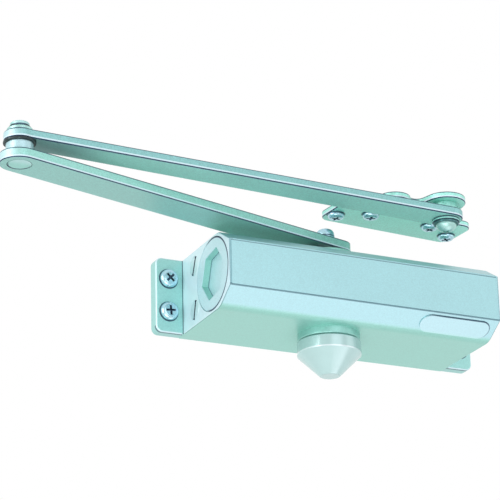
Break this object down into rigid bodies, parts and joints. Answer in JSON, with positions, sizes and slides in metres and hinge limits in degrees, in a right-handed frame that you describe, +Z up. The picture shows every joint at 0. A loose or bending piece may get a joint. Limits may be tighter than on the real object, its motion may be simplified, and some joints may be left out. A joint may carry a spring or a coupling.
{
  "type": "door closer",
  "caption": "Surface-mounted hydraulic door closer with rack and pinion, folding two-piece arm and frame bracket, in the parallel-arm position.",
  "frame": {"origin": "middle of the four door screws, on the back face that lies against the door", "axes": "+X along the body to the right as seen from the front, +Y into the door, +Z up along the spindle"},
  "size_m": [0.3177, 0.111, 0.1059],
  "materials": {
    "body_paint": "satin silver-green paint on a die casting",
    "plug_paint": "satin paint",
    "arm_paint": "satin silver-green paint on steel",
    "cap_plastic": "satin silver moulding",
    "zinc_screws": "bright zinc",
    "valve_steel": "turned",
    "pin_steel": "turned and zinc plated",
    "dark_rings": "blackened spring steel",
    "gear_steel": "machined and hardened",
    "bearing_bronze": "sintered bronze",
    "seal_rubber": "nitrile rubber",
    "piston_iron": "ground outside",
    "spring_steel": "oil-tempered wire",
    "ball_steel": "polished"
  },
  "bodies": {
    "closer_body": {"housing": "body_paint", "left_end_plug": "plug_paint", "right_end_plug": "plug_paint", "left_plug_ring": "seal_rubber", "right_plug_ring": "seal_rubber", "upper_bush": "bearing_bronze", "lower_bush": "bearing_bronze", "upper_shaft_seal": "seal_rubber", "lower_shaft_seal": "seal_rubber", "upper_bearing_nut": "gear_steel", "lower_bearing_nut": "gear_steel", "spindle_cap": "cap_plastic", "mounting_screws": "zinc_screws", "closer_spring": "spring_steel"},
    "main_arm_body": {"pinion_shaft": "gear_steel", "main_arm": "arm_paint", "arm_screw": "zinc_screws", "arm_screw_washer": "zinc_screws", "arm_lock_washer": "zinc_screws", "elbow_pin": "pin_steel", "elbow_spacer": "pin_steel", "elbow_thrust_washer": "dark_rings", "elbow_top_washer": "pin_steel", "elbow_retaining_ring": "dark_rings"},
    "forearm_body": {"forearm": "arm_paint", "elbow_bush": "bearing_bronze", "forearm_end_bush": "bearing_bronze"},
    "shoe_body": {"shoe_plate": "arm_paint", "shoe_pivot_bolt": "pin_steel", "shoe_pivot_spacer": "pin_steel", "shoe_pivot_collar": "pin_steel", "shoe_pivot_washer": "dark_rings", "shoe_screws": "zinc_screws"},
    "piston_body": {"piston": "piston_iron", "piston_seal": "seal_rubber", "check_ball_retainer": "gear_steel"},
    "check_ball_body": {"check_ball": "ball_steel"},
    "closing_valve_body": {"closing_valve": "valve_steel", "closing_valve_ring": "seal_rubber"},
    "latching_valve_body": {"latching_valve": "valve_steel", "latching_valve_ring": "seal_rubber"}
  },
  "joints": [
    {"name": "main_arm_turn", "type": "hinge", "parent": "closer_body", "child": "main_arm_body", "pos_m": [-0.00757, -0.035, 0], "axis": [0, 0, 1], "range_deg": [0, 150], "stiffness_Nm_per_rad": 2.5, "springref_deg": -57.3},
    {"name": "elbow_turn", "type": "hinge", "parent": "main_arm_body", "child": "forearm_body", "pos_m": [-0.20877, -0.09155, 0.0391], "axis": [0, 0, 1], "range_deg": [-110, 4]},
    {"name": "shoe_turn", "type": "hinge", "parent": "forearm_body", "child": "shoe_body", "pos_m": [0.04675, -0.07593, 0.0391], "axis": [0, 0, 1], "range_deg": [-30, 135]},
    {"name": "piston_slide", "type": "slide", "parent": "closer_body", "child": "piston_body", "axis": [1, 0, 0], "range_m": [0, 0.0262], "deforming": ["closer_spring"]},
    {"name": "check_ball_lift", "type": "slide", "parent": "piston_body", "child": "check_ball_body", "axis": [-1, 0, 0], "range_m": [0, 0.001]},
    {"name": "closing_valve_turn", "type": "hinge", "parent": "closer_body", "child": "closing_valve_body", "pos_m": [-0.0825, -0.02302, 0.01275], "axis": [1, 0, 0], "range_deg": [-180, 180]},
    {"name": "latching_valve_turn", "type": "hinge", "parent": "closer_body", "child": "latching_valve_body", "pos_m": [-0.0825, -0.02302, -0.01275], "axis": [1, 0, 0], "range_deg": [-180, 180]}
  ],
  "couplings": [
    {"joint": "piston_slide", "follows": "main_arm_turn", "m_per_rad": 0.01}
  ]
}
